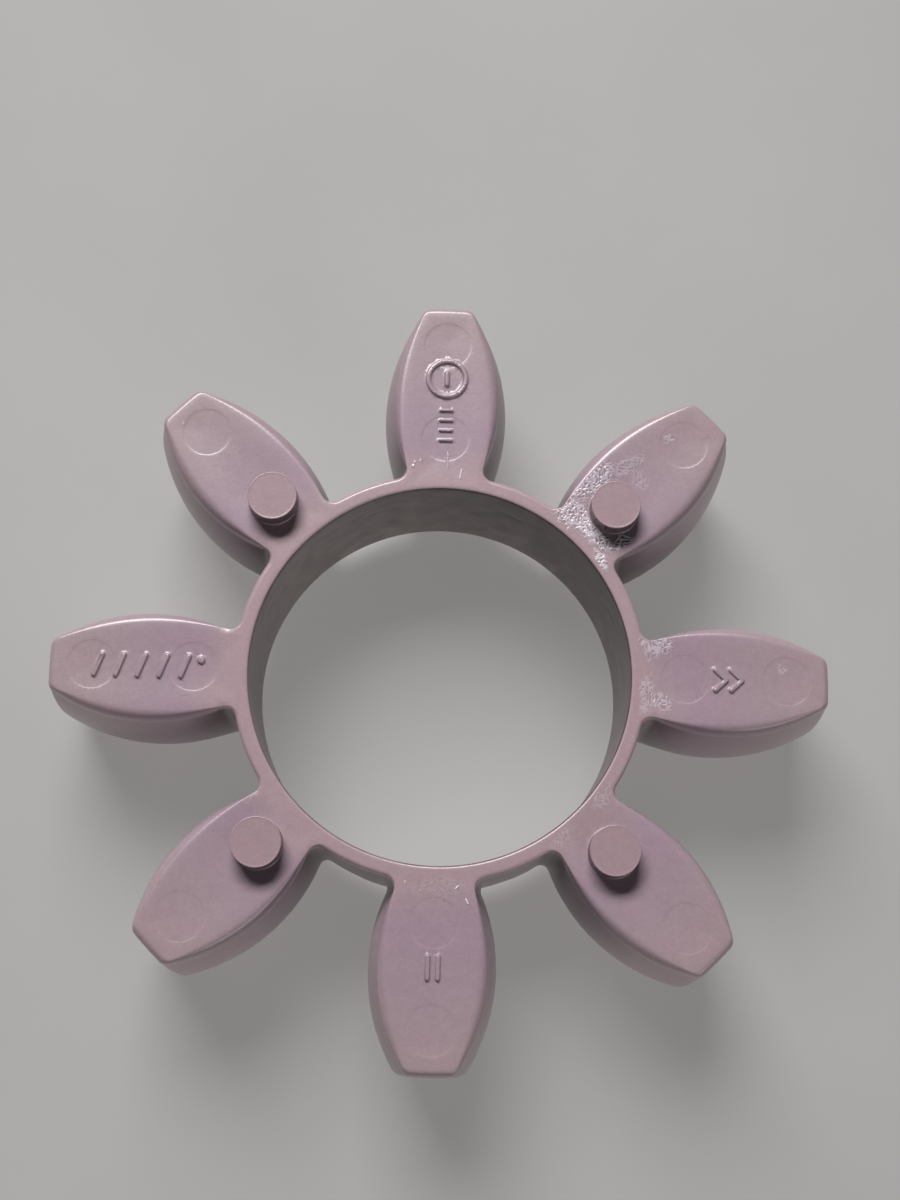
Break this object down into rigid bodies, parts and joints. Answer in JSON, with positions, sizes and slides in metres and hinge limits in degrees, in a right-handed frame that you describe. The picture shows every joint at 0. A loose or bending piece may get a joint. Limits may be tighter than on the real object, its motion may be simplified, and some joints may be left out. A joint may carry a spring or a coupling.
{
  "type": "jaw coupling spider",
  "caption": "Flexible insert of a curved-jaw shaft coupling: a thin ring with barrel-shaped legs around a clearance bore and round spacer nubs.",
  "frame": {"origin": "centre of the bore at half the width of the ring", "axes": "+Z along the shaft axis, out of the marked face; +X and +Y each through the middle of a leg"},
  "size_m": [0.0946, 0.0946, 0.0248],
  "materials": {
    "polyurethane_mauve": "satin moulded, semi-gloss on the rounded edges"
  },
  "bodies": {
    "root": {"spider": "polyurethane_mauve"}
  },
  "joints": []
}
